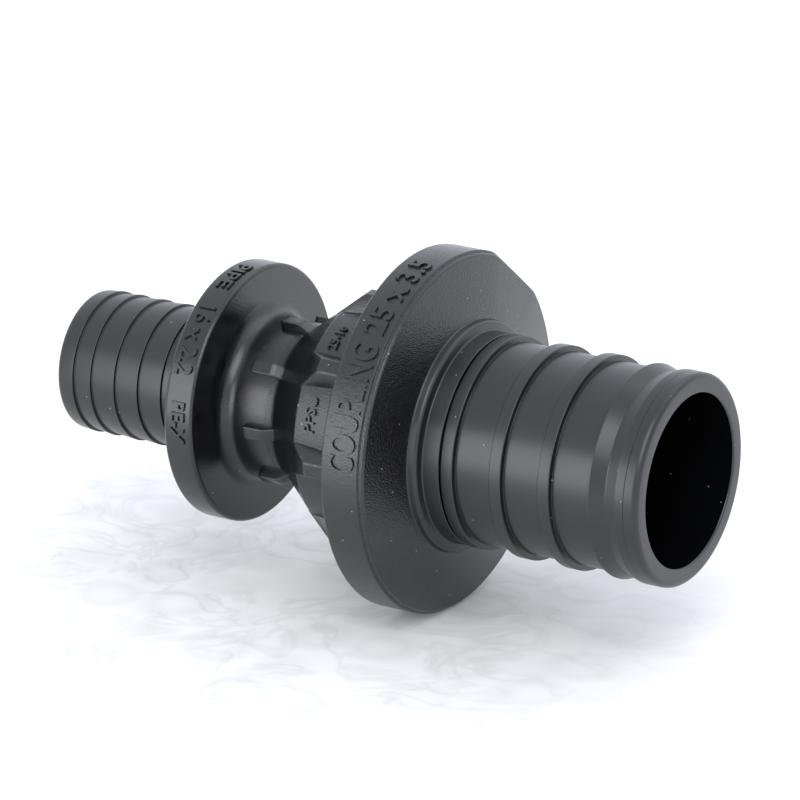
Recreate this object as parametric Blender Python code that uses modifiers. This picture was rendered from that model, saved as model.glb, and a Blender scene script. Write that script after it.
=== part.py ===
"""Reducing coupling for sleeve-jointed plastic pipe, 25 x 3.5 to 16 x 2.2.

The coupling is one injection moulding. It is built here as the sections that its own
creases divide it into, each a closed solid, with a narrow gap where two sections meet.
The axis lies along X with the large mouth toward +X and +Z up. The origin is on the axis,
midway between the two mouths. Every outline gives distances in millimetres: s is measured
along the axis from the large mouth, and r is the radius.
"""
import math

import bmesh
import bpy
from mathutils import Matrix, Vector

MM = 0.001
LENGTH = 67.9
GAP = 0.3
TURN_STEPS = 48
FILLET_STEPS = 4
MERGE_DISTANCE = 0.00001

LARGE_BORE_R = 8.46
SMALL_BORE_R = 5.2
TAPER_START = 27.0
TAPER_END = 41.0

LARGE_TIP_R = 10.36
LARGE_TIP_END = 2.3
GROOVE_BOTTOM = 3.65
GROOVE_CREST_START = 5.1
GROOVE_CREST_END = 5.3
GROOVE_CREST_R = 10.41
LARGE_LAND_R = 9.9
LARGE_RIB_R = 10.45
LARGE_RIB_START = 9.37
LARGE_RIB_PITCH = 5.29
LARGE_RIB_WIDTH = 1.3
LARGE_RIB_COUNT = 3
STEP_LEAN = 0.05
RIB_BACK_LEAN = 0.1

LARGE_COLLAR_R = 17.82
LARGE_COLLAR_FRONT = 25.68
LARGE_COLLAR_BACK = 30.06
ROOT_START = 21.55
ROOT_END = 23.0
ROOT_SKIRT_R = 11.2
ROOT_SKIRT_END = 24.4
KEY_FLAT_ANGLE = 128.7
KEY_FLAT_DEPTH = 0.58
RIM_CHAMFER = 0.3
CUTTER_REACH = 3.0

CONE_APEX = 51.7
CONE_SLOPE = 0.787
CONE_TOE = 41.9
BARREL_R = 7.8
BARREL_END = 46.2
HUB_DIVISIONS = 8
NECK_START_R = 12.1
NECK_END = 37.0
WEB_ANGLE = 38.7
WEB_START = 30.5
WEB_TOP_R = 13.25
WEB_TOP_WIDTH = 1.45
WEB_TOP_END = 34.75
WEB_FOOT_R = 11.0
WEB_FOOT_WIDTH = 4.05
WEB_FOOT_END = 37.2
LUG_WIDTH = 1.35
LUG_START = 42.1
LUG_NOSE = 1.1
LUG_END = 44.9
LUG_R = 8.65
LUG_FOOT = 1.6

SMALL_COLLAR_R = 12.88
SMALL_COLLAR_FRONT = 47.89
SMALL_COLLAR_BACK = 51.21
SMALL_FILLET_R = 1.5
SMALL_ROOT_R = 7.12
SMALL_ROOT_END = 53.0
SMALL_VALLEY_R = 6.88
SMALL_CREST_R = 7.12
SMALL_BARBS = (55.4, 58.15, 60.9, 63.7, 65.8)
SMALL_TIP_R = 6.95

EDGE = 0.5
TIP_ROUND = 0.6
PLASTIC = (0.011, 0.012, 0.013, 1.0)
SATIN = 0.32
ERODED = 0.5
NOSE_TOLERANCE = 0.01


def cone_radius(s):
    """Radius of the hub's cone: it falls in a straight line toward the cone's apex."""
    return CONE_SLOPE * (CONE_APEX - s)


def bore_radius(s):
    """Radius of the water way: two straight bores joined by a taper."""
    share = (s - TAPER_START) / (TAPER_END - TAPER_START)
    share = min(max(share, 0.0), 1.0)
    return LARGE_BORE_R + (SMALL_BORE_R - LARGE_BORE_R) * share


def clear_scene():
    """Remove whatever objects and collections the scene starts with."""
    for thing in list(bpy.data.objects):
        bpy.data.objects.remove(thing, do_unlink=True)
    for group in list(bpy.data.collections):
        bpy.data.collections.remove(group)


def new_collection(name):
    """Make a collection and hang it under the scene's own."""
    group = bpy.data.collections.new(name)
    bpy.context.scene.collection.children.link(group)
    return group


def plastic(name, roughness):
    """Black moulded plastic with the given surface roughness."""
    material = bpy.data.materials.new(name)
    material.use_nodes = True
    shader = material.node_tree.nodes["Principled BSDF"]
    shader.inputs["Base Color"].default_value = PLASTIC
    shader.inputs["Roughness"].default_value = roughness
    shader.inputs["Metallic"].default_value = 0.0
    return material


def corner(point, before, after, radius, steps=3):
    """Points of an arc that rounds one corner of an outline, from one leg to the other."""
    here = Vector(point)
    one = (Vector(before) - here).normalized()
    two = (Vector(after) - here).normalized()
    half = one.angle(two) / 2
    reach = radius / math.tan(half)
    centre = here + (one + two).normalized() * (radius / math.sin(half))
    start = here + one * reach - centre
    end = here + two * reach - centre
    turn = start.angle_signed(end)
    points = []
    for index in range(steps + 1):
        swing = -turn * index / steps
        across = start.x * math.cos(swing) - start.y * math.sin(swing)
        up = start.x * math.sin(swing) + start.y * math.cos(swing)
        points.append((centre.x + across, centre.y + up))
    return points


def turned(name, outer, group, material):
    """Turn one section: its outer outline runs from the large end, and the bore closes it."""
    first = outer[0][0]
    last = outer[-1][0]
    inner = [(s, bore_radius(s)) for s in (TAPER_START, TAPER_END) if first < s < last]
    inner = [(first, bore_radius(first))] + inner + [(last, bore_radius(last))]
    outline = outer + inner[::-1]
    mesh = bpy.data.meshes.new(name)
    verts = [(r * MM, 0.0, (LENGTH / 2 - s) * MM) for s, r in outline]
    edges = [(index, (index + 1) % len(verts)) for index in range(len(verts))]
    mesh.from_pydata(verts, edges, [])
    section = bpy.data.objects.new(name, mesh)
    group.objects.link(section)
    section.rotation_euler = (0.0, math.pi / 2, 0.0)
    screw = section.modifiers.new("turn", "SCREW")
    screw.axis = "Z"
    screw.angle = 2 * math.pi
    screw.steps = TURN_STEPS
    screw.render_steps = TURN_STEPS
    screw.use_merge_vertices = True
    screw.merge_threshold = MERGE_DISTANCE
    screw.use_smooth_shade = True
    mesh.materials.append(material)
    return section


def direction(angle):
    """Unit vector out from the axis, turned by an angle in degrees from -Y toward +Z."""
    turn = math.radians(angle)
    return Vector((0.0, -math.cos(turn), math.sin(turn)))


def bar(mesh, start, end, foot, angle, width):
    """Add a block whose top edge runs from start to end, given as (s, r), foot deep toward the axis."""
    outward = direction(angle)
    sideways = Vector((1.0, 0.0, 0.0)).cross(outward)
    low = Vector((LENGTH / 2 - start[0], 0.0, 0.0)) + outward * start[1]
    high = Vector((LENGTH / 2 - end[0], 0.0, 0.0)) + outward * end[1]
    lean = Matrix((high - low, sideways * width, outward * foot)).transposed().to_4x4()
    place = Matrix.Translation((low + high) / 2 - outward * foot / 2)
    block = bmesh.ops.create_cube(mesh, size=1.0, matrix=place @ lean)
    return block["verts"]


def tool(name, mesh, group):
    """Wrap a bmesh, drawn in millimetres, as a hidden cutting or joining solid."""
    bmesh.ops.recalc_face_normals(mesh, faces=mesh.faces)
    bmesh.ops.scale(mesh, vec=(MM, MM, MM), verts=mesh.verts)
    data = bpy.data.meshes.new(name)
    mesh.to_mesh(data)
    mesh.free()
    thing = bpy.data.objects.new(name, data)
    group.objects.link(thing)
    thing.hide_render = True
    thing.display_type = "WIRE"
    return thing


def combine(target, other, operation):
    """Join the other solid to the target, or cut it away."""
    step = target.modifiers.new(other.name, "BOOLEAN")
    step.operation = operation
    step.solver = "EXACT"
    step.object = other


def large_spigot(group, material):
    """Ribbed spigot that the 25 mm pipe is pushed over, with a lead-in groove at its tip."""
    mouth = (0.0, LARGE_TIP_R)
    outer = corner(mouth, (0.0, LARGE_BORE_R), (LARGE_TIP_END, LARGE_TIP_R), TIP_ROUND)
    outer += [(LARGE_TIP_END, LARGE_TIP_R), (GROOVE_BOTTOM, LARGE_LAND_R)]
    outer += [(GROOVE_CREST_START, GROOVE_CREST_R), (GROOVE_CREST_END, GROOVE_CREST_R)]
    outer += [(GROOVE_CREST_END + RIB_BACK_LEAN, LARGE_LAND_R)]
    for index in range(LARGE_RIB_COUNT):
        near = LARGE_RIB_START + index * LARGE_RIB_PITCH
        far = near + LARGE_RIB_WIDTH
        outer += [(near, LARGE_LAND_R), (near + STEP_LEAN, LARGE_RIB_R), (far, LARGE_RIB_R)]
        if index < LARGE_RIB_COUNT - 1:
            outer += [(far + RIB_BACK_LEAN, LARGE_LAND_R)]
    turned("large_spigot", outer, group, material)


def large_collar(group, tools, material):
    """Wide collar that the press sleeve stops against, with one flat on its rim."""
    rim = LARGE_COLLAR_R
    skirt = (ROOT_SKIRT_END, ROOT_SKIRT_R)
    front = (LARGE_COLLAR_FRONT, rim)
    back = (LARGE_COLLAR_BACK, rim)
    outer = [(ROOT_START, LARGE_RIB_R), (ROOT_END, LARGE_RIB_R), skirt]
    outer += corner(front, skirt, back, EDGE)
    outer += [(LARGE_COLLAR_BACK - RIM_CHAMFER, rim), (LARGE_COLLAR_BACK, rim - RIM_CHAMFER)]
    section = turned("large_collar", outer, group, material)
    mesh = bmesh.new()
    level = rim - KEY_FLAT_DEPTH
    near = (LARGE_COLLAR_FRONT - CUTTER_REACH, level + CUTTER_REACH)
    far = (LARGE_COLLAR_BACK + CUTTER_REACH, level + CUTTER_REACH)
    bar(mesh, near, far, CUTTER_REACH, KEY_FLAT_ANGLE, rim)
    combine(section, tool("key_flat_cutter", mesh, tools), "DIFFERENCE")


def web(mesh, angle):
    """Add a web standing on the neck: its flanks lean inward and its far end leans like the cone."""
    outward = direction(angle)
    sideways = Vector((1.0, 0.0, 0.0)).cross(outward)
    for vert in bmesh.ops.create_cube(mesh, size=1.0)["verts"]:
        side = vert.co.y
        if vert.co.z > 0:
            radius, width, end = WEB_TOP_R, WEB_TOP_WIDTH, WEB_TOP_END
        else:
            radius, width, end = WEB_FOOT_R, WEB_FOOT_WIDTH, WEB_FOOT_END
        s = WEB_START if vert.co.x > 0 else end
        vert.co = outward * radius + sideways * side * width
        vert.co.x = LENGTH / 2 - s


def tapered_hub(group, tools, material):
    """Neck behind the large collar and the cone that runs down to the barrel, with eight webs."""
    start = LARGE_COLLAR_BACK + GAP
    end = CONE_TOE - GAP
    outer = [(start, NECK_START_R), (NECK_END, cone_radius(NECK_END)), (end, cone_radius(end))]
    section = turned("tapered_hub", outer, group, material)
    mesh = bmesh.new()
    for index in range(HUB_DIVISIONS):
        web(mesh, WEB_ANGLE + index * 360.0 / HUB_DIVISIONS)
    combine(section, tool("webs", mesh, tools), "UNION")


def hub_barrel(group, tools, material):
    """Short barrel between the cone and the small collar, with eight lugs in line with the webs."""
    outer = [(CONE_TOE, BARREL_R), (BARREL_END, BARREL_R)]
    section = turned("hub_barrel", outer, group, material)
    mesh = bmesh.new()
    for index in range(HUB_DIVISIONS):
        angle = WEB_ANGLE + index * 360.0 / HUB_DIVISIONS
        corners = bar(mesh, (LUG_START, LUG_R), (LUG_END, LUG_R), LUG_FOOT, angle, LUG_WIDTH)
        outward = direction(angle)
        for vert in corners:
            front = vert.co.x > LENGTH / 2 - LUG_START - NOSE_TOLERANCE
            if front and vert.co.dot(outward) > BARREL_R:
                vert.co.x -= LUG_NOSE
    combine(section, tool("lugs", mesh, tools), "UNION")


def small_collar(group, material):
    """Narrow collar for the small sleeve, with a hollow fillet toward the barrel."""
    rim = SMALL_COLLAR_R
    start = BARREL_END + GAP
    front = (SMALL_COLLAR_FRONT, rim)
    back = (SMALL_COLLAR_BACK, rim)
    outer = []
    for index in range(FILLET_STEPS + 1):
        swing = math.pi / 2 * index / FILLET_STEPS
        s = start + (SMALL_COLLAR_FRONT - start) * math.sin(swing)
        outer.append((s, BARREL_R + SMALL_FILLET_R * (1.0 - math.cos(swing))))
    outer += corner(front, outer[-1], back, EDGE)
    outer += corner(back, front, (SMALL_COLLAR_BACK, SMALL_ROOT_R), EDGE)
    outer += [(SMALL_COLLAR_BACK, SMALL_ROOT_R), (SMALL_ROOT_END, SMALL_ROOT_R)]
    turned("small_collar", outer, group, material)


def small_spigot(group, material):
    """Barbed spigot that the 16 mm pipe is pushed over."""
    outer = [(SMALL_ROOT_END + GAP, SMALL_VALLEY_R)]
    for s in SMALL_BARBS:
        outer += [(s, SMALL_VALLEY_R), (s + STEP_LEAN, SMALL_CREST_R)]
    tip = (LENGTH, SMALL_TIP_R)
    outer += corner(tip, outer[-1], (LENGTH, SMALL_BORE_R), TIP_ROUND)
    turned("small_spigot", outer, group, material)


def main():
    """Build every section of the coupling."""
    clear_scene()
    sections = new_collection("reducing_coupling")
    tools = new_collection("cutters")
    large_spigot(sections, plastic("ppsu_satin_large", SATIN))
    large_collar(sections, tools, plastic("ppsu_eroded_large", ERODED))
    tapered_hub(sections, tools, plastic("ppsu_eroded_hub", ERODED))
    hub_barrel(sections, tools, plastic("ppsu_eroded_barrel", ERODED))
    small_collar(sections, plastic("ppsu_eroded_small", ERODED))
    small_spigot(sections, plastic("ppsu_satin_small", SATIN))


main()
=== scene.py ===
"""Looks of a black PPSU reducing pipe coupling, built round its packed sections as a studio set.

Every outline is given as (s, r): s is the distance along the axis from the large mouth and
r is the radius. A point at angle a lies at x = mouth - s, y = -r cos a, z = r sin a, so a is
0 on the near side and a quarter turn at the top.
"""
import math

import bmesh
import bpy
import numpy as np
from bpy.props import FloatProperty, IntProperty, PointerProperty, StringProperty
from mathutils import Matrix, Vector


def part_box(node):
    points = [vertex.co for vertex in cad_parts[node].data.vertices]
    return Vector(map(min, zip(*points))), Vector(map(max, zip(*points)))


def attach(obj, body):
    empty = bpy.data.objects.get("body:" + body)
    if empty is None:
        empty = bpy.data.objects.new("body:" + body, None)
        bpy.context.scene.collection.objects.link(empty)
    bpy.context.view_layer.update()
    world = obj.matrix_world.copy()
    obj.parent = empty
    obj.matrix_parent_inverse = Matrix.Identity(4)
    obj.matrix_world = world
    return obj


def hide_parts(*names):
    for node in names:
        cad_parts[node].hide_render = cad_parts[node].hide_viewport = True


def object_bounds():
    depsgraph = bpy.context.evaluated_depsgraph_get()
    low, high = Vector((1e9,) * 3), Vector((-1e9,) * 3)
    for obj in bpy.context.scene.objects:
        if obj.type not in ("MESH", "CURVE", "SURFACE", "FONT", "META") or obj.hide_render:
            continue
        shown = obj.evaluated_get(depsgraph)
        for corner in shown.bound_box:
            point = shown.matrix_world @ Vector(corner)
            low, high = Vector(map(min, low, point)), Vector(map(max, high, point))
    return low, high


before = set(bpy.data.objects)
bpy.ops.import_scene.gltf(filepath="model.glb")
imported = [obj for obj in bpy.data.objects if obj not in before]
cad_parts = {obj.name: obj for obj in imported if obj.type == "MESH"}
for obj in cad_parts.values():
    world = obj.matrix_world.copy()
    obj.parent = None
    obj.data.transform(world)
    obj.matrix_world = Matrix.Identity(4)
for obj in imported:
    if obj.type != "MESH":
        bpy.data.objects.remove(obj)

CAD_BOX = [list(corner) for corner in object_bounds()]

bl_info = {
    "name": "Reducing Coupling",
    "version": (1, 0, 0),
    "blender": (4, 5, 0),
    "location": "3D View > Sidebar > Coupling",
    "description": "Builds a black PPSU reducing pipe coupling and its studio set",
    "category": "Add Mesh",
}

MM = 0.001
DEGREE = math.pi / 180
BODY = "root"
MOUTH_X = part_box("large_spigot")[1].x
LENGTH = MOUTH_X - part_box("small_spigot")[0].x
LARGE_COLLAR_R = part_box("large_collar")[1].z
SMALL_COLLAR_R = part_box("small_collar")[1].z
COLLAR_BACK = MOUTH_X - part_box("large_collar")[0].x
HUB_DIVISIONS = 8
TAPER_START = 27.0 * MM
TAPER_END = 41.0 * MM
ARC_STEP = 9 * DEGREE
BLOCK_ARC_POINTS = 5
SHARP_ANGLE = 38 * DEGREE
MERGE_DISTANCE = 1e-7
BORE_TOLERANCE = 0.02 * MM


class CouplingSizes(bpy.types.PropertyGroup):
    """Sizes of the moulding that a user may want to change."""

    segments: IntProperty(
        name="Segments", description="Steps round every turned surface", default=360, min=48)
    large_bore: FloatProperty(
        name="Large Bore", description="Radius of the large bore",
        default=8.46 * MM, unit="LENGTH", precision=5)
    small_bore: FloatProperty(
        name="Small Bore", description="Radius of the small bore",
        default=5.2 * MM, unit="LENGTH", precision=5)
    large_land: FloatProperty(
        name="Large Land", description="Radius between the large spigot's ribs",
        default=9.9 * MM, unit="LENGTH", precision=5)
    large_rib: FloatProperty(
        name="Large Rib", description="Radius over the large spigot's ribs",
        default=10.45 * MM, unit="LENGTH", precision=5)
    large_tip: FloatProperty(
        name="Large Tip", description="Radius of the land beside the large mouth",
        default=10.36 * MM, unit="LENGTH", precision=5)
    rib_start: FloatProperty(
        name="First Rib", description="Distance from the large mouth to the first rib",
        default=9.37 * MM, unit="LENGTH", precision=5)
    rib_pitch: FloatProperty(
        name="Rib Pitch", description="Distance from one rib to the next",
        default=5.29 * MM, unit="LENGTH", precision=5)
    rib_width: FloatProperty(
        name="Rib Width", description="Length of a rib along the axis",
        default=1.3 * MM, unit="LENGTH", precision=5)
    flat_depth: FloatProperty(
        name="Flat Depth", description="Depth of the flat on the large collar's rim",
        default=0.58 * MM, unit="LENGTH", precision=5)
    flat_angle: FloatProperty(
        name="Flat Angle", description="Angle of the flat on the large collar's rim",
        default=128.7 * DEGREE, unit="ROTATION")
    barrel: FloatProperty(
        name="Barrel", description="Radius of the barrel between cone and small collar",
        default=7.8 * MM, unit="LENGTH", precision=5)
    cone_apex: FloatProperty(
        name="Cone Apex", description="Distance from the large mouth to the cone's apex",
        default=51.7 * MM, unit="LENGTH", precision=5)
    cone_slope: FloatProperty(
        name="Cone Slope", description="Fall of the cone's radius for each length of axis",
        default=0.787)
    neck_start: FloatProperty(
        name="Neck Start", description="Radius of the neck where it leaves the large collar",
        default=12.1 * MM, unit="LENGTH", precision=5)
    neck_end: FloatProperty(
        name="Neck End", description="Radius at which the neck turns into the cone",
        default=11.6 * MM, unit="LENGTH", precision=5)
    web_angle: FloatProperty(
        name="Web Angle", description="Angle of the first web; the rest follow evenly",
        default=38.7 * DEGREE, unit="ROTATION")
    web_radius: FloatProperty(
        name="Web Radius", description="Radius of the level top of a web",
        default=13.25 * MM, unit="LENGTH", precision=5)
    web_width: FloatProperty(
        name="Web Width", description="Width of the level top of a web",
        default=1.45 * MM, unit="LENGTH", precision=5)
    web_spread: FloatProperty(
        name="Web Spread", description="How far each flank of a web moves out for each length of depth",
        default=0.584)
    lug_width: FloatProperty(
        name="Lug Width", description="Width of a lug on the barrel",
        default=1.35 * MM, unit="LENGTH", precision=5)
    small_crest: FloatProperty(
        name="Small Crest", description="Radius over the small spigot's barbs",
        default=7.12 * MM, unit="LENGTH", precision=5)
    small_valley: FloatProperty(
        name="Small Valley", description="Radius at the foot of the small spigot's barbs",
        default=6.88 * MM, unit="LENGTH", precision=5)
    mark_height: FloatProperty(
        name="Mark Height", description="How far the marks stand off the collars",
        default=0.2 * MM, unit="LENGTH", precision=5)


class CouplingColours(bpy.types.PropertyGroup):
    """Colours as sRGB hex values."""

    plastic: StringProperty(
        name="Plastic", description="Black PPSU seen straight on", default="#050507")
    plastic_worn: StringProperty(
        name="Handled Plastic", description="Black PPSU where handling has greyed it", default="#0a0b0d")
    dust: StringProperty(
        name="Dust", description="Specks of pale dust on the plastic", default="#84868a")
    floor: StringProperty(
        name="Floor", description="White card under the coupling", default="#eeedec")
    # The film's grey also paints shade on the card round the coupling.
    film_and_shade: StringProperty(
        name="Film", description="Folds and walls of the bubble film", default="#c0bfbe")


class StageSettings(bpy.types.PropertyGroup):
    """Camera and light of the studio set."""

    azimuth: FloatProperty(
        name="Azimuth", description="Turn of the camera from -Y toward +X",
        default=31.77 * DEGREE, unit="ROTATION")
    elevation: FloatProperty(
        name="Elevation", description="Height of the camera above the horizon",
        default=19.32 * DEGREE, unit="ROTATION")
    distance: FloatProperty(
        name="Distance", description="Distance from the camera to its target",
        default=591.5 * MM, unit="LENGTH")
    lens: FloatProperty(name="Lens", description="Focal length", default=274.3)
    aim_right: FloatProperty(
        name="Aim Right", description="Target's place to the right of the origin",
        default=1.49 * MM, unit="LENGTH", precision=5)
    aim_up: FloatProperty(
        name="Aim Up", description="Target's place above the origin",
        default=1.73 * MM, unit="LENGTH", precision=5)
    sky: FloatProperty(name="Sky", description="Strength of the white surroundings", default=1.2)
    key_power: FloatProperty(
        name="Key Power", description="Power of the overhead soft box in watts", default=1.0)
    low_power: FloatProperty(
        name="Low Power", description="Power of the low strip in front in watts", default=0.045)
    front_power: FloatProperty(
        name="Front Power", description="Power of the soft box above the camera in watts", default=2.0)


def sizes():
    """The moulding's sizes."""
    return bpy.context.scene.coupling_sizes


def colours():
    """The moulding's colours."""
    return bpy.context.scene.coupling_colours


# ---- surfaces ---------------------------------------------------------------------------


def rounded(corners):
    """Outline with its corners rounded: each corner (s, r, radius) becomes an arc whose
    centre lies radius / sin(half the corner's angle) along the corner's bisector."""
    points = []
    count = len(corners)
    for index, (s, r, radius) in enumerate(corners):
        here = np.array((s, r))
        if radius <= 0:
            points.append(here[None])
            continue
        before = np.array(corners[index - 1][:2]) - here
        after = np.array(corners[(index + 1) % count][:2]) - here
        before /= np.linalg.norm(before)
        after /= np.linalg.norm(after)
        half = math.acos(float(np.clip(before @ after, -1, 1))) / 2
        bisector = (before + after) / np.linalg.norm(before + after)
        centre = here + bisector * radius / math.sin(half)
        sweep = math.pi - 2 * half
        steps = max(2, math.ceil(sweep / ARC_STEP))
        turn = np.linspace(-sweep / 2, sweep / 2, steps + 1)[:, None]
        side = np.array((-bisector[1], bisector[0]))
        if side @ after < 0:
            side = -side
        points.append(centre + radius * (side * np.sin(turn) - bisector * np.cos(turn)))
    return np.concatenate(points)


def place(s, r, angle):
    """Points at x = mouth - s, y = -r cos a, z = r sin a."""
    x, y, z = np.broadcast_arrays(MOUTH_X - s, -r * np.cos(angle), r * np.sin(angle))
    return np.stack((x, y, z), axis=-1)


def grid_faces(rows, columns):
    """Quads between neighbouring rows and columns of a grid that wraps round both ways."""
    row = np.arange(rows)[:, None]
    column = np.arange(columns)[None, :]
    next_row = (row + 1) % rows
    next_column = (column + 1) % columns
    quads = np.stack(np.broadcast_arrays(
        row * columns + column, row * columns + next_column,
        next_row * columns + next_column, next_row * columns + column), axis=-1)
    return quads.reshape(-1, 4)


def new_piece(name, points, faces, materials, replaces=()):
    """Make a smooth-shaded piece that rides on the coupling's one body."""
    mesh = bpy.data.meshes.new(name)
    mesh.from_pydata(np.asarray(points).reshape(-1, 3).tolist(), [], [tuple(f) for f in faces])
    work = bmesh.new()
    work.from_mesh(mesh)
    bmesh.ops.remove_doubles(work, verts=work.verts, dist=MERGE_DISTANCE)
    bmesh.ops.recalc_face_normals(work, faces=work.faces)
    work.to_mesh(mesh)
    work.free()
    mesh.shade_smooth()
    mesh.set_sharp_from_angle(angle=SHARP_ANGLE)
    for material in materials:
        mesh.materials.append(material)
    piece = bpy.data.objects.new(name, mesh)
    bpy.context.scene.collection.objects.link(piece)
    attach(piece, BODY)
    if replaces:
        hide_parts(*replaces)
    return piece


def bore_at(s):
    """Radius of the water way: straight up to the taper, straight again after it, and in
    between in proportion to the share of the taper passed."""
    share = np.clip((s - TAPER_START) / (TAPER_END - TAPER_START), 0, 1)
    return sizes().large_bore + (sizes().small_bore - sizes().large_bore) * share


def turned_piece(name, corners, material, node, reshape=None, smooth=(0, 0)):
    """Turn a closed outline about the axis: radius r at angle a, changed by reshape(s, r, a)
    where a stretch isn't round. The water way gets the core pin's finish, and the stretch of
    s given as smooth the satin one."""
    outline = rounded(corners)
    s = outline[None, :, 0]
    r = outline[None, :, 1]
    angle = np.linspace(0, 2 * math.pi, sizes().segments, endpoint=False)[:, None]
    radius = reshape(s, r, angle) if reshape else r
    points = place(s, radius, angle)
    faces = grid_faces(len(angle), outline.shape[0])
    finishes = (material, core_pin_ppsu(), satin_ppsu())
    piece = new_piece(name, points, faces, finishes, (node,))
    share_finishes(piece, smooth)
    return piece


def share_finishes(piece, smooth):
    """Give faces whose centre lies on the water way the second material and faces whose
    centre lies in the smooth stretch the third."""
    mesh = piece.data
    centres = np.empty(len(mesh.polygons) * 3)
    mesh.polygons.foreach_get("center", centres)
    centres = centres.reshape(-1, 3)
    radius = np.hypot(centres[:, 1], centres[:, 2])
    along = MOUTH_X - centres[:, 0]
    on_bore = radius < bore_at(along) + BORE_TOLERANCE
    on_smooth = (along > smooth[0]) & (along < smooth[1])
    index = np.where(on_bore, 1, np.where(on_smooth, 2, 0)).astype(np.int32)
    mesh.polygons.foreach_set("material_index", index)


def cone_length(radius):
    """Distance s at which the hub's cone has a radius: the apex's less radius over slope."""
    return sizes().cone_apex - radius / sizes().cone_slope


def block(length, width, height, edge, across=8, along=8):
    """Closed rounded block as an outline carried along a path. The outline is a rectangle of
    arc centres plus edge times the arc's normal; along the path the centres keep their place,
    the edge radius grows as sin t over each end and the outline closes to a point."""
    arc = np.linspace(0, math.pi / 2, BLOCK_ARC_POINTS)
    normals = []
    centres = []
    half = np.array((width / 2 - edge, height / 2 - edge))
    for quarter in range(4):
        turn = arc + quarter * math.pi / 2
        middle = turn[BLOCK_ARC_POINTS // 2]
        sign = np.array((math.cos(middle), math.sin(middle))) * math.sqrt(2)
        normals.append(np.stack((np.cos(turn), np.sin(turn)), axis=-1))
        centres.append(np.repeat((sign * half)[None], len(turn), axis=0))
        if quarter in (0, 2):
            slide = np.linspace(1, -1, across + 2)[1:-1, None]
            flat = np.array((0, 1 if quarter == 0 else -1))
            normals.append(np.repeat(flat[None].astype(float), across, axis=0))
            level = np.full_like(slide, sign[1] * half[1])
            centres.append(np.concatenate((slide * sign[0] * half[0], level), axis=1))
    normals = np.concatenate(normals)[None]
    centres = np.concatenate(centres)[None]
    reach = length / 2 - edge
    inner = np.linspace(-reach, reach, along + 2)[1:-1]
    travel = np.concatenate(([-length / 2], -reach - edge * np.cos(arc), inner,
                             reach + edge * np.cos(arc[::-1]), [length / 2]))
    swell = np.concatenate(([0], np.sin(arc), np.ones(along), np.sin(arc[::-1]), [0]))
    keep = np.ones_like(travel)
    keep[[0, -1]] = 0
    section = centres * keep[:, None, None] + normals * edge * swell[:, None, None]
    path = np.broadcast_to(travel[:, None, None], section.shape[:2] + (1,))
    return np.concatenate((path, section), axis=-1)


def tube_faces(shape):
    """Quads of a grid that wraps round each section but is open along its path."""
    rows, columns = shape[:2]
    faces = grid_faces(rows, columns)
    return faces[:(rows - 1) * columns]


def hub_angles():
    """Angles of the webs, and of the lugs in line with them."""
    return [sizes().web_angle + index * 2 * math.pi / HUB_DIVISIONS for index in range(HUB_DIVISIONS)]


def repeated(name, blocks, material):
    """Join a list of like blocks, each a grid of points, into one piece."""
    points = np.concatenate([grid.reshape(-1, 3) for grid in blocks])
    one = tube_faces(blocks[0].shape)
    count = blocks[0].shape[0] * blocks[0].shape[1]
    faces = np.concatenate([one + index * count for index in range(len(blocks))])
    return new_piece(name, points, faces, (material,))


# ---- finishes ---------------------------------------------------------------------------


def linear(code):
    """Linear RGBA of an sRGB hex code."""
    values = [int(code[index:index + 2], 16) / 255 for index in (1, 3, 5)]
    return tuple(v / 12.92 if v <= 0.04045 else ((v + 0.055) / 1.055) ** 2.4 for v in values) + (1.0,)


def add_node(tree, kind, settings=None, inputs=None, links=None):
    """Add a node, set its settings and inputs, and link its inputs to other sockets."""
    node = tree.nodes.new(kind)
    for key, value in (settings or {}).items():
        setattr(node, key, value)
    for key, value in (inputs or {}).items():
        node.inputs[key].default_value = value
    for key, socket in (links or {}).items():
        tree.links.new(socket, node.inputs[key])
    return node


def new_material(name):
    """A material and its empty node tree, with no tree if the material was made before."""
    material = bpy.data.materials.get(name)
    if material:
        return material, None
    material = bpy.data.materials.new(name)
    material.use_nodes = True
    material.node_tree.nodes.clear()
    return material, material.node_tree


def finish_plastic(tree, colour, roughness, bump):
    """Close a PPSU material: black all through, so nearly all it shows is what it mirrors."""
    shader = add_node(tree, "ShaderNodeBsdfPrincipled", inputs={"IOR": 1.6},
                      links={"Base Color": colour, "Roughness": roughness, "Normal": bump})
    add_node(tree, "ShaderNodeOutputMaterial", links={"Surface": shader.outputs["BSDF"]})


def handled_colour(tree, where, grain):
    """Black that greys a little in soft patches some millimetres across, with a few specks of
    pale dust a tenth of a millimetre across."""
    patches = add_node(tree, "ShaderNodeTexNoise", inputs={"Scale": 1 / (grain * MM), "Detail": 3.0},
                       links={"Vector": where})
    mix = add_node(tree, "ShaderNodeMix", settings={"data_type": "RGBA"},
                   links={"Factor": patches.outputs["Fac"]})
    mix.inputs["A"].default_value = linear(colours().plastic)
    mix.inputs["B"].default_value = linear(colours().plastic_worn)
    spots = add_node(tree, "ShaderNodeTexVoronoi", inputs={"Scale": 1 / (1.7 * MM)},
                     links={"Vector": where})
    specks = add_node(tree, "ShaderNodeMapRange",
                      inputs={"From Min": 0.035, "From Max": 0.05, "To Min": 1.0, "To Max": 0.0},
                      links={"Value": spots.outputs["Distance"]})
    dusty = add_node(tree, "ShaderNodeMix", settings={"data_type": "RGBA"},
                     links={"Factor": specks.outputs["Result"], "A": mix.outputs["Result"]})
    dusty.inputs["B"].default_value = linear(colours().dust)
    return dusty.outputs["Result"]


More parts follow.
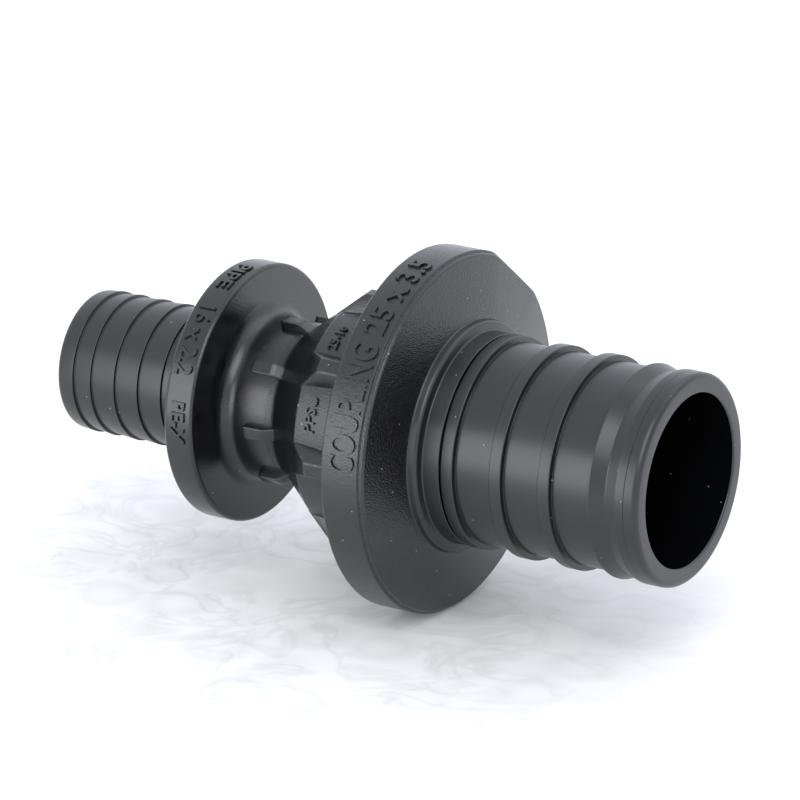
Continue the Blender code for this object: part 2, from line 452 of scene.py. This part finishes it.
def satin_ppsu():
    """PPSU moulded against a turned and stoned steel insert: satin, with faint rings left by
    turning, about 0.12 mm apart, and a few soft rubbed patches."""
    material, tree = new_material("ppsu_moulded_satin")
    if tree is None:
        return material
    where = add_node(tree, "ShaderNodeTexCoord").outputs["Object"]
    rings = add_node(tree, "ShaderNodeMapping", inputs={"Scale": (1 / (0.12 * MM), 40.0, 40.0)},
                     links={"Vector": where})
    lines = add_node(tree, "ShaderNodeTexNoise", inputs={"Scale": 1.0, "Detail": 2.0},
                     links={"Vector": rings.outputs["Vector"]})
    rubbed = add_node(tree, "ShaderNodeTexNoise", inputs={"Scale": 1 / (3.0 * MM), "Detail": 5.0},
                      links={"Vector": where})
    roughness = add_node(tree, "ShaderNodeMapRange", inputs={"To Min": 0.26, "To Max": 0.36},
                         links={"Value": rubbed.outputs["Fac"]})
    bump = add_node(tree, "ShaderNodeBump", inputs={"Strength": 0.35, "Distance": 0.002 * MM},
                    links={"Height": lines.outputs["Fac"]})
    finish_plastic(tree, handled_colour(tree, where, 6.0), roughness.outputs["Result"],
                   bump.outputs["Normal"])
    return material


def eroded_ppsu(name="ppsu_moulded_spark_eroded", depth=0.026):
    """PPSU moulded against a spark-eroded cavity: overlapping craters about 0.15 mm across,
    with a deeper pit here and there, break the reflections into a sparkle. The depth of the
    craters is in millimetres."""
    material, tree = new_material(name)
    if tree is None:
        return material
    where = add_node(tree, "ShaderNodeTexCoord").outputs["Object"]
    craters = add_node(tree, "ShaderNodeTexVoronoi", settings={"feature": "SMOOTH_F1"},
                       inputs={"Scale": 1 / (0.16 * MM), "Smoothness": 0.5}, links={"Vector": where})
    grit = add_node(tree, "ShaderNodeTexNoise", inputs={"Scale": 1 / (0.12 * MM), "Detail": 3.0},
                    links={"Vector": where})
    spots = add_node(tree, "ShaderNodeTexVoronoi", inputs={"Scale": 1 / (0.5 * MM)},
                     links={"Vector": where})
    pits = add_node(tree, "ShaderNodeMapRange", inputs={"From Max": 0.18},
                    links={"Value": spots.outputs["Distance"]})
    rough = add_node(tree, "ShaderNodeMath", settings={"operation": "ADD"},
                     links={0: craters.outputs["Distance"], 1: grit.outputs["Fac"]})
    height = add_node(tree, "ShaderNodeMath", settings={"operation": "ADD"},
                      links={0: rough.outputs["Value"], 1: pits.outputs["Result"]})
    roughness = add_node(tree, "ShaderNodeMapRange", inputs={"To Min": 0.16, "To Max": 0.26},
                         links={"Value": grit.outputs["Fac"]})
    bump = add_node(tree, "ShaderNodeBump", inputs={"Strength": 1.0, "Distance": depth * MM},
                    links={"Height": height.outputs["Value"]})
    finish_plastic(tree, handled_colour(tree, where, 4.0), roughness.outputs["Result"],
                   bump.outputs["Normal"])
    return material


def fine_eroded_ppsu():
    """The same finish where the cavity was eroded with a finer spark: darker in the shade."""
    return eroded_ppsu("ppsu_moulded_fine_eroded", 0.009)


def core_pin_ppsu():
    """PPSU moulded on a polished core pin: glossy black, with drag lines along the pin."""
    material, tree = new_material("ppsu_moulded_polished_bore")
    if tree is None:
        return material
    where = add_node(tree, "ShaderNodeTexCoord").outputs["Object"]
    drawn = add_node(tree, "ShaderNodeMapping", inputs={"Scale": (60.0, 1 / (0.4 * MM), 1 / (0.4 * MM))},
                     links={"Vector": where})
    drag = add_node(tree, "ShaderNodeTexNoise", inputs={"Scale": 1.0, "Detail": 2.0},
                    links={"Vector": drawn.outputs["Vector"]})
    roughness = add_node(tree, "ShaderNodeMapRange", inputs={"To Min": 0.08, "To Max": 0.16},
                         links={"Value": drag.outputs["Fac"]})
    bump = add_node(tree, "ShaderNodeBump", inputs={"Strength": 0.2, "Distance": 0.002 * MM},
                    links={"Height": drag.outputs["Fac"]})
    finish_plastic(tree, handled_colour(tree, where, 6.0), roughness.outputs["Result"],
                   bump.outputs["Normal"])
    return material


def film_and_painted_shade():
    """Bubble film over white card: pale, with greyer rings where the bubbles' walls stand and
    creases between them. These lie over an even grey that is partly the film's own tone and partly
    painted shade on the card round the coupling. All of it dies away a few centimetres from the
    coupling."""
    material, tree = new_material("bubble_film_on_card")
    if tree is None:
        return material
    where = add_node(tree, "ShaderNodeTexCoord").outputs["Object"]
    bubbles = add_node(tree, "ShaderNodeTexVoronoi", inputs={"Scale": 1 / (8 * MM), "Randomness": 0.4},
                       links={"Vector": where})
    folds = add_node(tree, "ShaderNodeTexNoise",
                     inputs={"Scale": 1 / (10 * MM), "Detail": 3.0, "Distortion": 1.5},
                     links={"Vector": where})
    lines = []
    for value, level, width in (
            (bubbles.outputs["Distance"], 0.42, 0.2), (folds.outputs["Fac"], 0.5, 0.07)):
        off = add_node(tree, "ShaderNodeMath", settings={"operation": "SUBTRACT"}, inputs={1: level},
                       links={0: value})
        gap = add_node(tree, "ShaderNodeMath", settings={"operation": "ABSOLUTE"},
                       links={0: off.outputs["Value"]})
        lines.append(add_node(tree, "ShaderNodeMapRange",
                              inputs={"From Min": 0.0, "From Max": width, "To Min": 0.25, "To Max": 0.0},
                              links={"Value": gap.outputs["Value"]}).outputs["Result"])
    both = add_node(tree, "ShaderNodeMath", settings={"operation": "ADD"},
                    links={0: lines[0], 1: lines[1]})
    # Painted shade: an even 0.35 of the film's grey under the rings and creases darkens the card round
    # the coupling; part of it is the film's own tone.
    film_lines_and_shade = add_node(tree, "ShaderNodeMath", settings={"operation": "ADD"}, inputs={1: 0.35},
                       links={0: both.outputs["Value"]})
    # The film and the painted shade fade out with distance from a point under the coupling.
    away = add_node(tree, "ShaderNodeVectorMath", settings={"operation": "DISTANCE"},
                    inputs={1: (-0.014, -0.016, 0.0)}, links={0: where})
    fade = add_node(tree, "ShaderNodeMapRange",
                    inputs={"From Min": 30 * MM, "From Max": 70 * MM, "To Min": 1.0, "To Max": 0.0},
                    links={"Value": away.outputs["Value"]})
    share = add_node(tree, "ShaderNodeMath", settings={"operation": "MULTIPLY"},
                     links={0: film_lines_and_shade.outputs["Value"], 1: fade.outputs["Result"]})
    mix = add_node(tree, "ShaderNodeMix", settings={"data_type": "RGBA"},
                   links={"Factor": share.outputs["Value"]})
    mix.inputs["A"].default_value = linear(colours().floor)
    mix.inputs["B"].default_value = linear(colours().film_and_shade)
    shader = add_node(tree, "ShaderNodeBsdfPrincipled",
                      inputs={"Roughness": 0.6, "Emission Color": (1.0, 1.0, 1.0, 1.0),
                              "Emission Strength": 0.06},
                      links={"Base Color": mix.outputs["Result"]})
    add_node(tree, "ShaderNodeOutputMaterial", links={"Surface": shader.outputs["BSDF"]})
    return material


# ---- sections of the moulding -----------------------------------------------------------


# Roundings of the outlines' corners, and how far a step's front leans
SHARP = 0.05 * MM
KEEN = 0.08 * MM
CRISP = 0.1 * MM
FIRM = 0.12 * MM
EASED = 0.2 * MM
SOFT = 0.3 * MM
ROUND = 0.45 * MM
FRONT_LEAN = 0.04 * MM

# Large spigot: a fine parting line, the tip's end, a groove, a crest and the first land
TIP_ROUND = 0.6 * MM
PARTING_FRONT_S = 1.4 * MM
PARTING_S = 1.43 * MM
PARTING_BACK_S = 1.48 * MM
PARTING_DEPTH = 0.05 * MM
TIP_END_S = 2.3 * MM
TIP_END_ROUND = 0.5 * MM
GROOVE_S = 3.65 * MM
GROOVE_DROP = 0.03 * MM
CREST_S = 5.12 * MM
CREST_END_S = 5.32 * MM
CREST_RISE = 0.05 * MM
LAND_S = 5.4 * MM
RIB_BACK_LEAN = 0.06 * MM
RIB_FOOT_ROUND = 0.06 * MM

# Large collar: a ring at the root, a bead before the face, and a lip before the rim
ROOT_S = 21.5 * MM
RING_FRONT_DROP = 0.05 * MM
RING_BACK_DROP = 0.02 * MM
RING_END_S = 23.3 * MM
RING_FILLET = 0.15 * MM
BEAD_S = 23.5 * MM
BEAD_R = 11.35 * MM
FACE_S = 24.35 * MM
FACE_R = 11.45 * MM
LIP_S = 25.45 * MM
LIP_END_S = 25.92 * MM
LIP_FRONT_DROP = 0.28 * MM
LIP_BACK_DROP = 0.22 * MM
RIM_S = 26.0 * MM
FLAT_FADE_R = 14.0 * MM
FLAT_SOFTNESS = 0.06 * MM
FLAT_REACH = 1.2

# Hub: webs on the neck and lugs on the barrel
SHOULDER_ROUND = 0.5 * MM
TOE_ROUND = 1.4 * MM
WEB_SINK = 0.1 * MM
WEB_DEPTH = 2.2 * MM
WEB_EDGE = 0.18 * MM
BARREL_S = 42.8 * MM
LUG_START = 41.4 * MM
LUG_END = 44.9 * MM
LUG_R = 8.65 * MM
LUG_DEPTH = 1.5 * MM
LUG_NOSE = 1.2 * MM
LUG_NOSE_SLOPE = 0.75

# Small collar and small spigot
FILLET_S = 46.2 * MM
FILLET_ROUND = 1.6 * MM
SMALL_FRONT_S = 47.89 * MM
SMALL_BACK_S = 51.21 * MM
BARB_S = 53.0 * MM
BARBS = (55.4 * MM, 58.15 * MM, 60.9 * MM, 63.7 * MM, 65.8 * MM)
SMALL_TIP_RISE = 0.05 * MM
SMALL_TIP_ROUND = 0.65 * MM
SMALL_MOUTH_EDGE = 0.16 * MM


class COUPLING_OT_large_spigot(bpy.types.Operator):
    """Turn the ribbed spigot for the larger pipe."""

    bl_idname = "coupling.large_spigot"
    bl_label = "Large Spigot"

    def execute(self, context):
        size = sizes()
        land = size.large_land
        rib = size.large_rib
        tip = size.large_tip
        crest = tip + CREST_RISE
        corners = [(0, size.large_bore, EASED), (0, tip, TIP_ROUND)]
        corners += [(PARTING_FRONT_S, tip, 0), (PARTING_S, tip - PARTING_DEPTH, 0)]
        corners += [(PARTING_BACK_S, tip, 0), (TIP_END_S, tip, TIP_END_ROUND)]
        corners += [(GROOVE_S, land - GROOVE_DROP, SOFT), (CREST_S, crest, FIRM)]
        corners += [(CREST_END_S, crest, SHARP), (LAND_S, land, FIRM)]
        near = size.rib_start
        while near + size.rib_width < ROOT_S:
            far = near + size.rib_width
            corners += [(near, land, SHARP), (near + FRONT_LEAN, rib, CRISP)]
            corners += [(far, rib, CRISP), (far + RIB_BACK_LEAN, land, RIB_FOOT_ROUND)]
            near += size.rib_pitch
        corners += [(ROOT_S, land, 0), (ROOT_S, bore_at(ROOT_S), 0)]
        turned_piece("spigot_large", corners, satin_ppsu(), "large_spigot")
        return {"FINISHED"}


class COUPLING_OT_large_collar(bpy.types.Operator):
    """Turn the wide collar, with its root ring and the flat on its rim."""

    bl_idname = "coupling.large_collar"
    bl_label = "Large Collar"

    def execute(self, context):
        size = sizes()
        rim = LARGE_COLLAR_R
        rib = size.large_rib
        back = COLLAR_BACK
        corners = [(ROOT_S, bore_at(ROOT_S), 0), (ROOT_S, rib - RING_FRONT_DROP, CRISP)]
        corners += [(RING_END_S, rib - RING_BACK_DROP, RING_FILLET), (BEAD_S, BEAD_R, ROUND)]
        corners += [(FACE_S, FACE_R, EASED), (LIP_S, rim - LIP_FRONT_DROP, SOFT)]
        corners += [(LIP_END_S, rim - LIP_BACK_DROP, SHARP), (RIM_S, rim, KEEN)]
        corners += [(back, rim, SOFT), (back, bore_at(back), 0), (TAPER_START, size.large_bore, 0)]

        def flatten(s, r, angle):
            """Pull the rim in to a chord: the rim's reach is its level / cos of the angle off
            the flat's middle, blended softly into the round, and the pull fades inward."""
            off = np.abs((angle - size.flat_angle + math.pi) % (2 * math.pi) - math.pi)
            level = (rim - size.flat_depth) / np.cos(np.minimum(off, FLAT_REACH))
            reach = -FLAT_SOFTNESS * np.logaddexp(-level / FLAT_SOFTNESS, -rim / FLAT_SOFTNESS)
            share = np.clip((r - FLAT_FADE_R) / (rim - FLAT_FADE_R), 0, 1)
            return r - (rim - reach) * share

        turned_piece("collar_large", corners, eroded_ppsu(), "large_collar",
                     flatten, smooth=(ROOT_S, FACE_S))
        return {"FINISHED"}


class COUPLING_OT_tapered_hub(bpy.types.Operator):
    """Turn the hub's neck and cone and stand its webs on them."""

    bl_idname = "coupling.tapered_hub"
    bl_label = "Tapered Hub"

    def execute(self, context):
        size = sizes()
        start = COLLAR_BACK
        shoulder = cone_length(size.neck_end)
        toe = cone_length(size.barrel)
        corners = [(start, bore_at(start), 0), (start, size.neck_start, 0)]
        corners += [(shoulder, size.neck_end, SHOULDER_ROUND)]
        corners += [(toe, size.barrel, TOE_ROUND), (BARREL_S, size.barrel, 0)]
        corners += [(BARREL_S, size.small_bore, 0), (TAPER_END, size.small_bore, 0)]
        finish = eroded_ppsu()
        turned_piece("hub_cone", corners, finish, "tapered_hub")
        repeated("hub_webs", [self.web(turn) for turn in hub_angles()], finish)
        return {"FINISHED"}

    @staticmethod
    def web(turn):
        """A block whose flanks lean out by the spread times the depth below its top, and whose
        far end leans along the cone, by the depth over the cone's slope."""
        size = sizes()
        low = COLLAR_BACK - WEB_SINK
        high = cone_length(size.web_radius)
        grid = block(high - low, size.web_width, WEB_DEPTH, WEB_EDGE)
        depth = WEB_DEPTH / 2 - grid[..., 2]
        side = grid[..., 1] * (1 + 2 * size.web_spread * depth / size.web_width)
        share = grid[..., 0] / (high - low) + 0.5
        s = (low + high) / 2 + grid[..., 0] + share * depth / size.cone_slope
        up = size.web_radius - depth
        return place(s, np.hypot(up, side), turn + np.arctan2(side, up))


class COUPLING_OT_hub_barrel(bpy.types.Operator):
    """Turn the barrel and set its lugs on it."""

    bl_idname = "coupling.hub_barrel"
    bl_label = "Hub Barrel"

    def execute(self, context):
        size = sizes()
        corners = [(BARREL_S, size.small_bore, 0), (BARREL_S, size.barrel, 0)]
        corners += [(FILLET_S, size.barrel, 0), (FILLET_S, size.small_bore, 0)]
        finish = fine_eroded_ppsu()
        turned_piece("hub_barrel_skin", corners, finish, "hub_barrel")
        repeated("barrel_lugs", [self.lug(turn) for turn in hub_angles()], finish)
        return {"FINISHED"}

    @staticmethod
    def lug(turn):
        """A block bent round the barrel: its side offset over its radius is an angle, and its
        top falls toward the cone by the nose's slope times the distance into the nose."""
        grid = block(LUG_END - LUG_START, sizes().lug_width, LUG_DEPTH, FIRM)
        s = (LUG_START + LUG_END) / 2 + grid[..., 0]
        drop = np.clip(LUG_START + LUG_NOSE - s, 0, LUG_NOSE) * LUG_NOSE_SLOPE
        r = LUG_R + grid[..., 2] - LUG_DEPTH / 2 - drop
        return place(s, r, turn + grid[..., 1] / LUG_R)


class COUPLING_OT_small_collar(bpy.types.Operator):
    """Turn the narrow collar, with its fillet toward the barrel."""

    bl_idname = "coupling.small_collar"
    bl_label = "Small Collar"

    def execute(self, context):
        size = sizes()
        rim = SMALL_COLLAR_R
        root = size.small_crest
        corners = [(FILLET_S, size.small_bore, 0), (FILLET_S, size.barrel, 0)]
        corners += [(SMALL_FRONT_S, size.barrel, FILLET_ROUND), (SMALL_FRONT_S, rim, ROUND)]
        corners += [(SMALL_BACK_S, rim, ROUND), (SMALL_BACK_S, root, SOFT)]
        corners += [(BARB_S, root, KEEN), (BARB_S, size.small_bore, 0)]
        turned_piece("collar_small", corners, fine_eroded_ppsu(), "small_collar",
                     smooth=(SMALL_BACK_S, BARB_S))
        return {"FINISHED"}


class COUPLING_OT_small_spigot(bpy.types.Operator):
    """Turn the barbed spigot for the smaller pipe."""

    bl_idname = "coupling.small_spigot"
    bl_label = "Small Spigot"

    def execute(self, context):
        size = sizes()
        valley = size.small_valley
        corners = [(BARB_S, size.small_bore, 0), (BARB_S, valley, 0)]
        for barb in BARBS:
            corners += [(barb, valley, SHARP), (barb + FRONT_LEAN, size.small_crest, KEEN)]
        corners += [(LENGTH, valley + SMALL_TIP_RISE, SMALL_TIP_ROUND)]
        corners += [(LENGTH, size.small_bore, SMALL_MOUTH_EDGE)]
        turned_piece("spigot_small", corners, satin_ppsu(), "small_spigot")
        return {"FINISHED"}


# ---- marks ------------------------------------------------------------------------------


# Lettering, in the font's own units: half the relief, what each stroke gains, and its curves
HALF_RELIEF = 0.5
STROKE_SWELL = 0.012
CURVE_STEPS = 3

LARGE_RIM_S = 27.8
SMALL_RIM_S = 49.5

# Marks: name, text, cap height and length in mm, angle in degrees, s in mm
LARGE_RIM_MARKS = (
    ("mark_large_size", "25 x 3.5", 2.4, 10.6, 64.5, LARGE_RIM_S),
    ("mark_large_word", "COUPLING", 2.9, 12.6, 23.4, LARGE_RIM_S),
)
SMALL_RIM_MARKS = (
    ("mark_small_size", "16 x 2.2", 1.9, 7.4, 39.5, SMALL_RIM_S),
    ("mark_small_pipe", "PE-X", 1.5, 4.2, 2.0, SMALL_RIM_S),
    ("mark_small_word", "PIPE", 1.5, 4.6, 78.0, SMALL_RIM_S),
)
NECK_MARKS = (
    ("mark_material", "PPSU", 1.2, 3.5, 17.2, 35.3),
    ("mark_reduction", "25-16", 1.1, 2.85, 56.7, 35.25),
)


def letters(text, height, length):
    """Raised generic lettering as flat mesh data, scaled to its cap height and length and
    centred: x reads along the text, y points to the letters' tops and z is the relief."""
    curve = bpy.data.curves.new("lettering", "FONT")
    curve.body = text
    curve.extrude = HALF_RELIEF
    curve.offset = STROKE_SWELL
    curve.resolution_u = CURVE_STEPS
    holder = bpy.data.objects.new("lettering", curve)
    bpy.context.scene.collection.objects.link(holder)
    bpy.context.view_layer.update()
    mesh = bpy.data.meshes.new_from_object(holder.evaluated_get(bpy.context.evaluated_depsgraph_get()))
    points = np.empty(len(mesh.vertices) * 3)
    mesh.vertices.foreach_get("co", points)
    points = points.reshape(-1, 3)
    faces = [tuple(polygon.vertices) for polygon in mesh.polygons]
    bpy.data.objects.remove(holder)
    bpy.data.curves.remove(curve)
    bpy.data.meshes.remove(mesh)
    low = points.min(axis=0)
    high = points.max(axis=0)
    scale = np.array((length, height, 1)) / (high - low)
    return (points - (low + high) / 2) * scale, faces


def neck_at(s):
    """Radius of the hub's neck, which falls evenly from the collar to the cone."""
    size = sizes()
    ends = (COLLAR_BACK, cone_length(size.neck_end))
    return np.interp(s, ends, (size.neck_start, size.neck_end))


class COUPLING_OT_size_marks(bpy.types.Operator):
    """Raise the pipe sizes and plain generic words on the rims and the neck."""

    bl_idname = "coupling.size_marks"
    bl_label = "Size Marks"

    def execute(self, context):
        for row in LARGE_RIM_MARKS:
            self.mark(*row, way=1, base_at=lambda s: np.full_like(s, LARGE_COLLAR_R))
        for row in SMALL_RIM_MARKS:
            self.mark(*row, way=-1, base_at=lambda s: np.full_like(s, SMALL_COLLAR_R))
        for row in NECK_MARKS:
            self.mark(*row, way=1, base_at=neck_at)
        return {"FINISHED"}

    @staticmethod
    def mark(name, text, height, length, angle, s, way, base_at):
        """Wrap lettering round the axis: x / r turns it about the axis, y moves it along the
        axis and z lifts it off the radius that base_at gives. A way of -1 reverses both x and
        y, which is a half turn of the text on the surface."""
        points, faces = letters(text, height * MM, length * MM)
        along = s * MM + way * points[:, 1]
        base = base_at(along)
        level = base + points[:, 2] * 2 * sizes().mark_height
        turn = angle * DEGREE + way * points[:, 0] / base
        new_piece(name, place(along, level, turn), faces, (eroded_ppsu(),))


# ---- stage ------------------------------------------------------------------------------

# Half the floor's side, the surroundings' cool white, the sensor in mm and the near clip
FLOOR_REACH = 2.0
SKY_COLOUR = (0.92, 0.97, 1.06, 1.0)
SENSOR_WIDTH = 36.0
NEAR_CLIP = 0.01

# Lights: name, place, width, height and the setting that holds the power
STUDIO_LIGHTS = (
    ("key_box", (0.25, 0.45, 0.75), 0.7, 0.7, "key_power"),
    ("low_strip", (-0.042, -0.095, 0.014), 0.09, 0.062, "low_power"),
    ("front_box", (0.26, -0.4, 0.52), 0.5, 0.5, "front_power"),
)


class COUPLING_OT_stage(bpy.types.Operator):
    """Lay the floor and set the soft light and the camera."""

    bl_idname = "coupling.stage"
    bl_label = "Stage"

    def execute(self, context):
        self.floor()
        self.light(context.scene)
        self.camera(context.scene)
        return {"FINISHED"}

    @staticmethod
    def floor():
        """A flat square sheet, level with the large collar's lowest point."""
        side = np.array((-FLOOR_REACH, FLOOR_REACH))
        x, y = np.meshgrid(side, side, indexing="ij")
        points = np.stack((x, y, np.full_like(x, CAD_BOX[0][2])), axis=-1).reshape(-1, 3)
        mesh = bpy.data.meshes.new("floor")
        mesh.from_pydata(points.tolist(), [], [(0, 2, 3, 1)])
        # The card carries the bubble film and painted shade round the coupling.
        mesh.materials.append(film_and_painted_shade())
        sheet = bpy.data.objects.new("floor", mesh)
        bpy.context.scene.collection.objects.link(sheet)

    @staticmethod
    def light(scene):
        """White surroundings, a soft box above and behind, a low strip and one above the camera."""
        stage = scene.stage_settings
        world = bpy.data.worlds.new("studio")
        world.use_nodes = True
        world.node_tree.nodes.clear()
        sky = add_node(world.node_tree, "ShaderNodeBackground",
                       inputs={"Color": SKY_COLOUR, "Strength": stage.sky})
        add_node(world.node_tree, "ShaderNodeOutputWorld", links={"Surface": sky.outputs["Background"]})
        scene.world = world
        for name, place_at, width, height, power in STUDIO_LIGHTS:
            data = bpy.data.lights.new(name, "AREA")
            data.shape = "RECTANGLE"
            data.size = width
            data.size_y = height
            data.energy = getattr(stage, power)
            box = bpy.data.objects.new(name, data)
            box.location = place_at
            box.rotation_euler = (-box.location).to_track_quat("-Z", "Y").to_euler()
            scene.collection.objects.link(box)
        scene.view_settings.view_transform = "Standard"

    @staticmethod
    def camera(scene):
        """A long lens at the given azimuth and elevation, upright, aimed beside the origin."""
        stage = scene.stage_settings
        turn = Matrix.Rotation(stage.azimuth, 3, "Z") @ Matrix.Rotation(-stage.elevation, 3, "X")
        away = turn @ Vector((0, -1, 0))
        right = turn @ Vector((1, 0, 0))
        up = turn @ Vector((0, 0, 1))
        target = right * stage.aim_right + up * stage.aim_up
        data = bpy.data.cameras.new("studio_camera")
        data.lens = stage.lens
        data.sensor_width = SENSOR_WIDTH
        data.clip_start = NEAR_CLIP
        camera = bpy.data.objects.new("studio_camera", data)
        camera.location = target + away * stage.distance
        camera.rotation_euler = (-away).to_track_quat("-Z", "Y").to_euler()
        scene.collection.objects.link(camera)
        scene.camera = camera


STEPS = (
    COUPLING_OT_large_spigot,
    COUPLING_OT_large_collar,
    COUPLING_OT_tapered_hub,
    COUPLING_OT_hub_barrel,
    COUPLING_OT_small_collar,
    COUPLING_OT_small_spigot,
    COUPLING_OT_size_marks,
    COUPLING_OT_stage,
)


class COUPLING_PT_panel(bpy.types.Panel):
    """Sidebar panel that lists the coupling's steps."""

    bl_idname = "COUPLING_PT_panel"
    bl_label = "Reducing Coupling"
    bl_space_type = "VIEW_3D"
    bl_region_type = "UI"
    bl_category = "Coupling"

    def draw(self, context):
        for step in STEPS:
            self.layout.operator(step.bl_idname)


CLASSES = (CouplingSizes, CouplingColours, StageSettings) + STEPS + (COUPLING_PT_panel,)


def register():
    """Register the classes and hang the settings on the scene."""
    for cls in CLASSES:
        bpy.utils.register_class(cls)
    bpy.types.Scene.coupling_sizes = PointerProperty(type=CouplingSizes)
    bpy.types.Scene.coupling_colours = PointerProperty(type=CouplingColours)
    bpy.types.Scene.stage_settings = PointerProperty(type=StageSettings)


def unregister():
    """Take the settings off the scene and unregister the classes."""
    del bpy.types.Scene.stage_settings
    del bpy.types.Scene.coupling_colours
    del bpy.types.Scene.coupling_sizes
    for cls in reversed(CLASSES):
        bpy.utils.unregister_class(cls)


def main():
    """Build every piece and the stage."""
    register()
    for step in STEPS:
        group, name = step.bl_idname.split(".")
        getattr(getattr(bpy.ops, group), name)()


if __name__ == "__main__":
    main()
